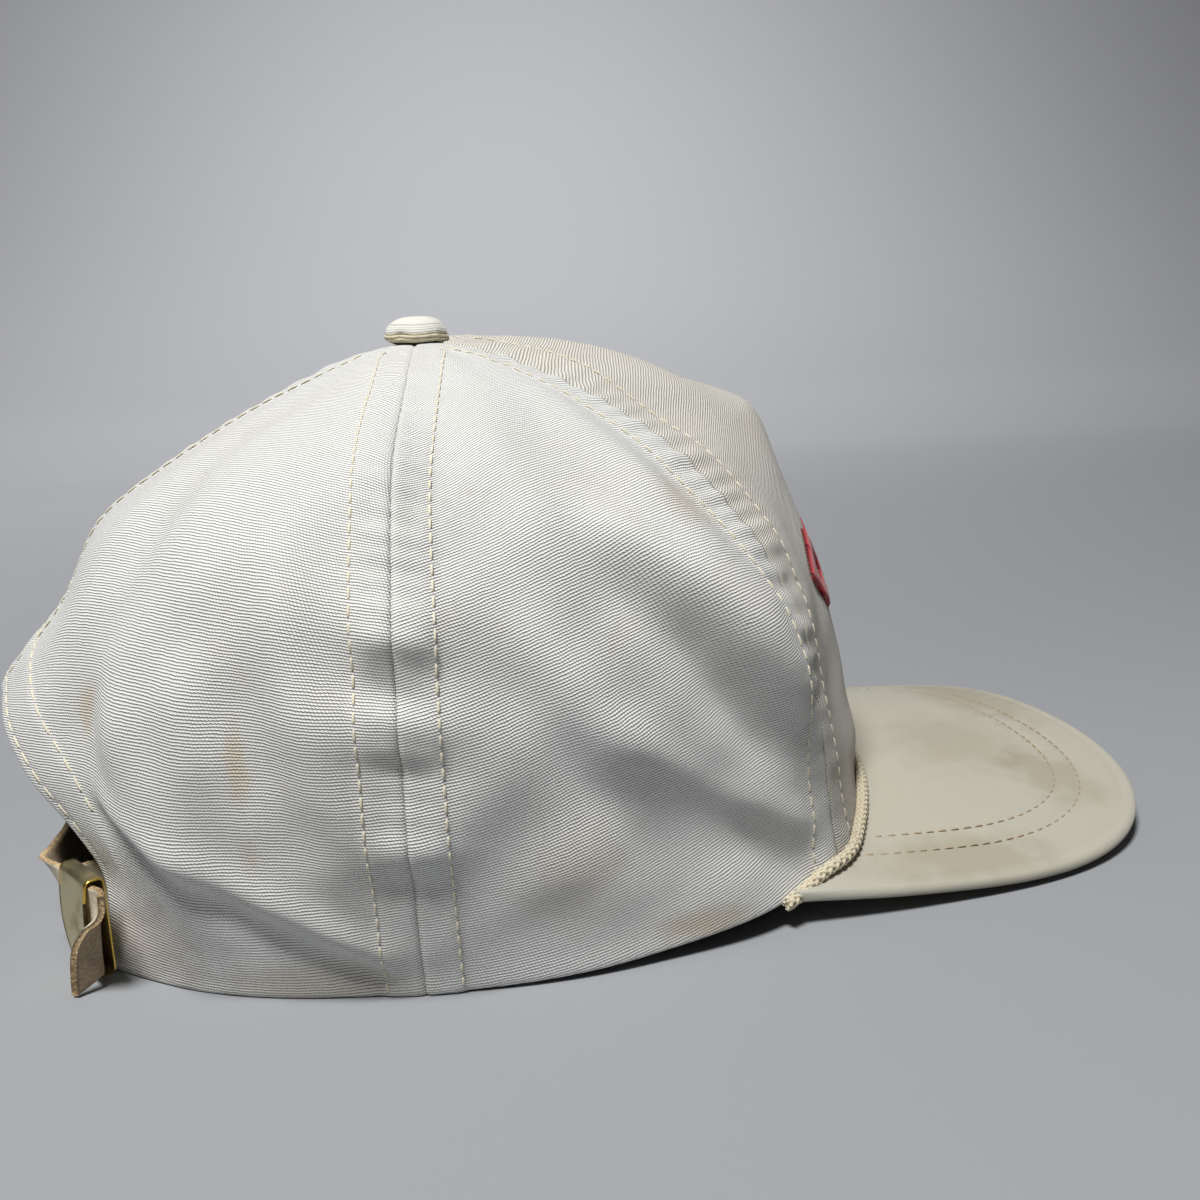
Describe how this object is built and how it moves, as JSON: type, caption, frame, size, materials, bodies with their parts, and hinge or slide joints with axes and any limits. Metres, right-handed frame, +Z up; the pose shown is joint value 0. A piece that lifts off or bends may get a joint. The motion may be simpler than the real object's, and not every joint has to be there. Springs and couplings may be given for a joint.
{
  "type": "rope cap",
  "caption": "All-cloth panelled cap with a stiff curved visor, a rope on the visor's join, a covered top button and a leather rear strap in a brass clasp.",
  "frame": {"origin": "middle of the cap's bounding box, on the surface that it stands on", "axes": "+X along the visor to its tip, +Y to the wearer's left, +Z up to the top button"},
  "size_m": [0.2769, 0.1717, 0.1334],
  "materials": {
    "cloth": "off-white cotton twill with fine ribs, lightly soiled",
    "visor_cloth": "off-white cotton over board, yellowed towards its edge",
    "rope_cord": "braided off-white cotton",
    "button_cloth": "off-white cotton drawn over a shell",
    "strap_leather": "cream face, taupe back, rough tan cut edge",
    "clasp_brass": "worn satin brass with bright edges"
  },
  "bodies": {
    "root": {"front_panel": "cloth", "right_side_panel": "cloth", "left_side_panel": "cloth", "right_back_panel": "cloth", "left_back_panel": "cloth", "visor": "visor_cloth", "rope": "rope_cord", "top_button": "button_cloth", "strap": "strap_leather", "clasp_loop": "strap_leather", "clasp": "clasp_brass"}
  },
  "joints": []
}
